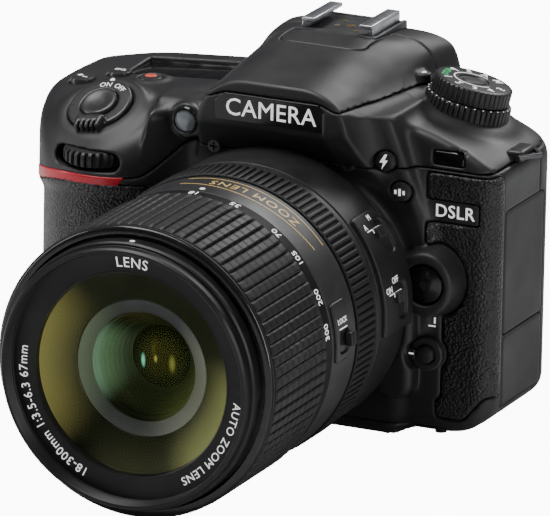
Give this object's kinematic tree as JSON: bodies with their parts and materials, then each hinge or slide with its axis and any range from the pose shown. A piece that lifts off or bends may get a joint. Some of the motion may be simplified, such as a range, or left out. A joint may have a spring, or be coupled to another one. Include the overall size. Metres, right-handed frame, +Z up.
{
  "type": "dslr camera",
  "caption": "Single-lens reflex camera with hand grip, pop-up flash, tilting screen, dials, and an extending zoom lens.",
  "frame": {"origin": "mouth of the tripod socket on the base plane, directly below the lens axis", "axes": "-Y is the direction the lens looks, +Z is up, +X is the side with the connector doors"},
  "size_m": [0.1435, 0.163, 0.1035],
  "materials": {
    "cell": "moulded",
    "casing": "fine grained satin",
    "buttons": "satin",
    "steel": "satin",
    "ring_rubber": "ribbed",
    "glass": "coated",
    "barrel": "satin",
    "accent": "smooth",
    "covering": "pebbled leather grain",
    "sensor": "coated",
    "iris_metal": "matt black",
    "circuit": "solder mask",
    "dials": "knurled",
    "frame_alloy": "matt black",
    "record_red": "satin",
    "plate": "smooth",
    "mirror_glass": "polished",
    "screen": "glossy",
    "prism_glass": "clear"
  },
  "bodies": {
    "camera_body": {"front_cover": "casing", "rear_cover": "casing", "bottom_cover": "casing", "top_cover": "casing", "case_screws": "steel", "mount_ring": "steel", "mirror_box": "frame_alloy", "image_sensor": "sensor", "main_board": "circuit", "battery": "cell", "viewfinder_prism": "prism_glass", "grip_rubber": "covering", "grip_accent": "accent", "side_rubber": "covering", "name_plate": "plate", "hot_shoe": "steel", "strap_lugs": "steel", "eyecup": "ring_rubber", "lens_barrel": "barrel"},
    "inner_barrel": {"inner_barrel": "barrel", "front_ring": "barrel", "front_element": "glass", "inner_elements": "glass", "iris_blades": "iris_metal"},
    "battery_door": {"battery_door": "casing"},
    "bracket_button": {"bracket_button": "buttons"},
    "card_door": {"card_door": "casing"},
    "delete_button": {"delete_button": "buttons"},
    "exposure_button": {"exposure_button": "buttons"},
    "flash_button": {"flash_button": "buttons"},
    "flash_head": {"flash_head": "casing"},
    "focus_mode_button": {"focus_mode_button": "buttons"},
    "focus_mode_lever": {"focus_mode_lever": "buttons"},
    "focus_ring": {"focus_ring": "ring_rubber"},
    "focus_switch": {"focus_switch": "buttons"},
    "iso_button": {"iso_button": "buttons"},
    "lens_release_button": {"lens_release_button": "buttons"},
    "live_view_button": {"live_view_button": "buttons"},
    "lower_port_door": {"lower_port_door": "covering"},
    "main_command_dial": {"main_command_dial": "dials"},
    "menu_button": {"menu_button": "buttons"},
    "mode_dial": {"mode_dial": "dials"},
    "movie_button": {"movie_button": "record_red"},
    "multi_selector": {"multi_selector": "buttons"},
    "ok_button": {"ok_button": "buttons"},
    "playback_button": {"playback_button": "buttons"},
    "power_switch": {"power_switch": "dials"},
    "reflex_mirror": {"reflex_mirror": "mirror_glass"},
    "release_dial": {"release_dial": "dials"},
    "screen_bracket": {"screen_bracket": "frame_alloy"},
    "screen_panel": {"screen_panel": "screen"},
    "shutter_button": {"shutter_button": "buttons"},
    "shutter_curtain": {"shutter_curtain": "iris_metal"},
    "stabiliser_switch": {"stabiliser_switch": "buttons"},
    "sub_command_dial": {"sub_command_dial": "dials"},
    "upper_port_door": {"upper_port_door": "covering"},
    "zoom_in_button": {"zoom_in_button": "buttons"},
    "zoom_lock_slider": {"zoom_lock_slider": "buttons"},
    "zoom_out_button": {"zoom_out_button": "buttons"},
    "zoom_ring": {"zoom_ring": "ring_rubber"}
  },
  "joints": [
    {"name": "shutter_press", "type": "slide", "parent": "camera_body", "child": "shutter_button", "axis": [0.1302, 0.4908, -0.8615], "range_m": [0, 0.0015]},
    {"name": "power_turn", "type": "hinge", "parent": "camera_body", "child": "power_switch", "pos_m": [-0.0571, -0.0199, 0.078], "axis": [-0.1302, -0.4908, 0.8615], "range_deg": [0, 50]},
    {"name": "exposure_press", "type": "slide", "parent": "camera_body", "child": "exposure_button", "axis": [0, 0, -1], "range_m": [0, 0.001]},
    {"name": "iso_press", "type": "slide", "parent": "camera_body", "child": "iso_button", "axis": [0, 0, -1], "range_m": [0, 0.001]},
    {"name": "movie_press", "type": "slide", "parent": "camera_body", "child": "movie_button", "axis": [0, 0, -1], "range_m": [0, 0.001]},
    {"name": "flash_press", "type": "slide", "parent": "camera_body", "child": "flash_button", "axis": [0, 1, 0], "range_m": [0, 0.001]},
    {"name": "bracket_press", "type": "slide", "parent": "camera_body", "child": "bracket_button", "axis": [0, 1, 0], "range_m": [0, 0.001]},
    {"name": "focus_mode_press", "type": "slide", "parent": "camera_body", "child": "focus_mode_button", "axis": [0, 1, 0], "range_m": [0, 0.001]},
    {"name": "playback_press", "type": "slide", "parent": "camera_body", "child": "playback_button", "axis": [0, -1, 0], "range_m": [0, 0.001]},
    {"name": "delete_press", "type": "slide", "parent": "camera_body", "child": "delete_button", "axis": [0, -1, 0], "range_m": [0, 0.001]},
    {"name": "menu_press", "type": "slide", "parent": "camera_body", "child": "menu_button", "axis": [0, -1, 0], "range_m": [0, 0.001]},
    {"name": "zoom_in_press", "type": "slide", "parent": "camera_body", "child": "zoom_in_button", "axis": [0, -1, 0], "range_m": [0, 0.001]},
    {"name": "zoom_out_press", "type": "slide", "parent": "camera_body", "child": "zoom_out_button", "axis": [0, -1, 0], "range_m": [0, 0.001]},
    {"name": "live_view_press", "type": "slide", "parent": "camera_body", "child": "live_view_button", "axis": [0, -1, 0], "range_m": [0, 0.001]},
    {"name": "ok_press", "type": "slide", "parent": "camera_body", "child": "ok_button", "axis": [0, -1, 0], "range_m": [0, 0.001]},
    {"name": "lens_release_press", "type": "slide", "parent": "camera_body", "child": "lens_release_button", "axis": [0, 1, 0], "range_m": [0, 0.002]},
    {"name": "mode_dial_turn", "type": "hinge", "parent": "camera_body", "child": "mode_dial", "pos_m": [0.0395, 0.007, 0.092], "axis": [0.2105, 0.1003, 0.9724], "continuous": true},
    {"name": "release_dial_turn", "type": "hinge", "parent": "camera_body", "child": "release_dial", "pos_m": [0.0395, 0.007, 0.092], "axis": [0.2105, 0.1003, 0.9724], "range_deg": [0, 210]},
    {"name": "sub_dial_turn", "type": "hinge", "parent": "camera_body", "child": "sub_command_dial", "pos_m": [-0.0546, -0.028, 0.0679], "axis": [0, 0, 1], "continuous": true},
    {"name": "main_dial_turn", "type": "hinge", "parent": "camera_body", "child": "main_command_dial", "pos_m": [-0.062, 0.018, 0.0714], "axis": [0, 0, 1], "continuous": true},
    {"name": "focus_mode_turn", "type": "hinge", "parent": "camera_body", "child": "focus_mode_lever", "pos_m": [0.0402, -0.0215, 0.024], "axis": [0, -1, 0], "range_deg": [0, 30]},
    {"name": "selector_tilt", "type": "hinge", "parent": "camera_body", "child": "multi_selector", "pos_m": [-0.055, 0.0275, 0.046], "axis": [1, 0, 0], "range_deg": [-4, 4]},
    {"name": "flash_lift", "type": "hinge", "parent": "camera_body", "child": "flash_head", "pos_m": [0, 0.013, 0.0978], "axis": [-1, 0, 0], "range_deg": [0, 65]},
    {"name": "mirror_flip", "type": "hinge", "parent": "camera_body", "child": "reflex_mirror", "pos_m": [0, 0.005, 0.055], "axis": [-1, 0, 0], "range_deg": [0, 45]},
    {"name": "shutter_travel", "type": "slide", "parent": "camera_body", "child": "shutter_curtain", "axis": [0, 0, -1], "range_m": [0, 0.018]},
    {"name": "battery_door_open", "type": "hinge", "parent": "camera_body", "child": "battery_door", "pos_m": [-0.0465, -0.011, 0], "axis": [0, -1, 0], "range_deg": [0, 100]},
    {"name": "card_door_open", "type": "hinge", "parent": "camera_body", "child": "card_door", "pos_m": [-0.077, 0.024, 0.036], "axis": [0, 0, -1], "range_deg": [0, 85]},
    {"name": "upper_port_open", "type": "hinge", "parent": "camera_body", "child": "upper_port_door", "pos_m": [0.0585, -0.013, 0.046], "axis": [0, 0, -1], "range_deg": [0, 100]},
    {"name": "lower_port_open", "type": "hinge", "parent": "camera_body", "child": "lower_port_door", "pos_m": [0.0585, -0.013, 0.019], "axis": [0, 0, -1], "range_deg": [0, 100]},
    {"name": "screen_tilt_down", "type": "hinge", "parent": "camera_body", "child": "screen_bracket", "pos_m": [0, 0.0286, 0.009], "axis": [-1, 0, 0], "range_deg": [0, 45]},
    {"name": "screen_tilt_up", "type": "hinge", "parent": "screen_bracket", "child": "screen_panel", "pos_m": [0, 0.0288, 0.0635], "axis": [1, 0, 0], "range_deg": [0, 90]},
    {"name": "zoom_turn", "type": "hinge", "parent": "camera_body", "child": "zoom_ring", "pos_m": [0, -0.1, 0.0395], "axis": [0, -1, 0], "range_deg": [0, 80]},
    {"name": "zoom_extend", "type": "slide", "parent": "camera_body", "child": "inner_barrel", "axis": [0, -1, 0], "range_m": [0, 0.07]},
    {"name": "focus_turn", "type": "hinge", "parent": "camera_body", "child": "focus_ring", "pos_m": [0, -0.058, 0.0395], "axis": [0, -1, 0], "range_deg": [0, 150]},
    {"name": "zoom_lock_slide", "type": "slide", "parent": "camera_body", "child": "zoom_lock_slider", "axis": [0, -1, 0], "range_m": [0, 0.0028]},
    {"name": "focus_switch_slide", "type": "slide", "parent": "camera_body", "child": "focus_switch", "axis": [0.515, 0, -0.8572], "range_m": [0, 0.0028]},
    {"name": "stabiliser_slide", "type": "slide", "parent": "camera_body", "child": "stabiliser_switch", "axis": [0.0872, 0, -0.9962], "range_m": [0, 0.0028]}
  ],
  "couplings": [
    {"joint": "zoom_extend", "follows": "zoom_turn", "m_per_rad": 0.050129}
  ]
}
